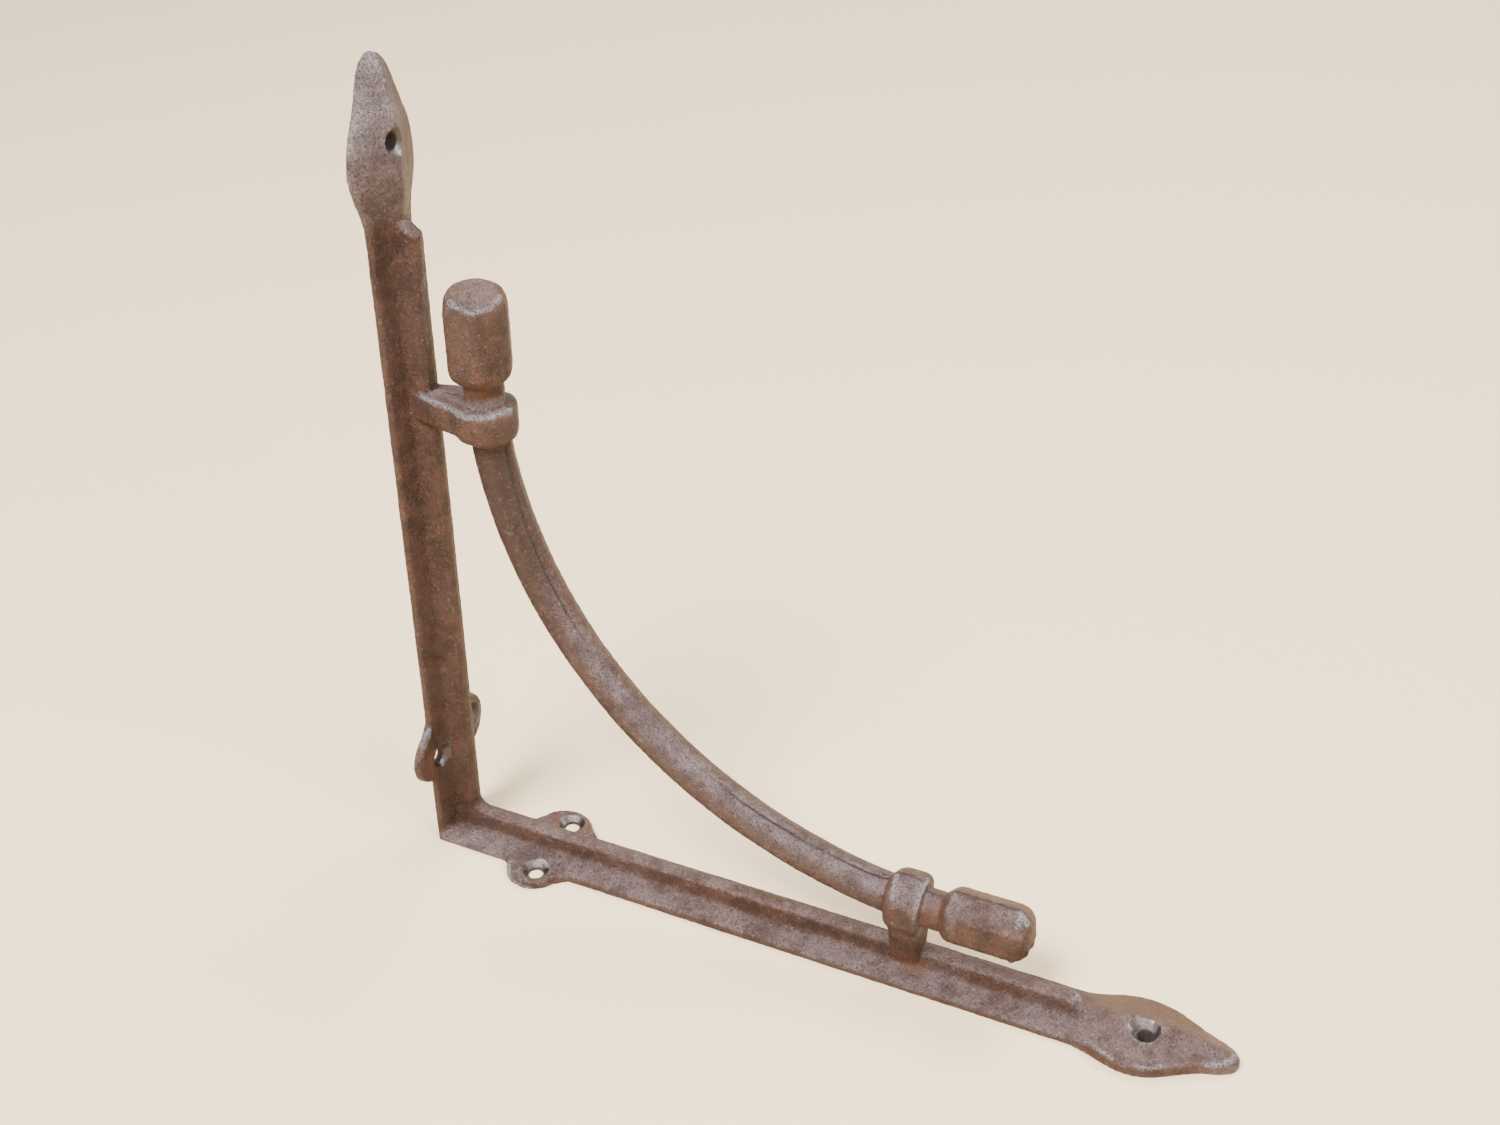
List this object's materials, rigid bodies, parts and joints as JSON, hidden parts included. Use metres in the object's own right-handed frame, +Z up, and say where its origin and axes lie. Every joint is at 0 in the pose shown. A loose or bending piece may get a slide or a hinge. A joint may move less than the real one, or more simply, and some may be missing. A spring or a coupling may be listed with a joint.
{
  "type": "cast iron bracket",
  "caption": "Cast iron shelf bracket: two ribbed arms at a right angle with leaf tips and screw lugs, braced by a quarter-round bar with knobbed ends.",
  "frame": {"origin": "on the underside of the lying arm, under the middle of the whole bracket", "axes": "+Z up along the standing arm, +X along the lying arm from the corner to its leaf tip, +Y across the arms"},
  "size_m": [0.2807, 0.0406, 0.2813],
  "materials": {
    "patinated_iron": "old cast iron with a brown patina, a grey-violet bloom on the faces turned up, fine sand-cast grain, rubbed bright on a few edges and in the screw countersinks"
  },
  "bodies": {
    "root": {"bracket": "patinated_iron"}
  },
  "joints": []
}
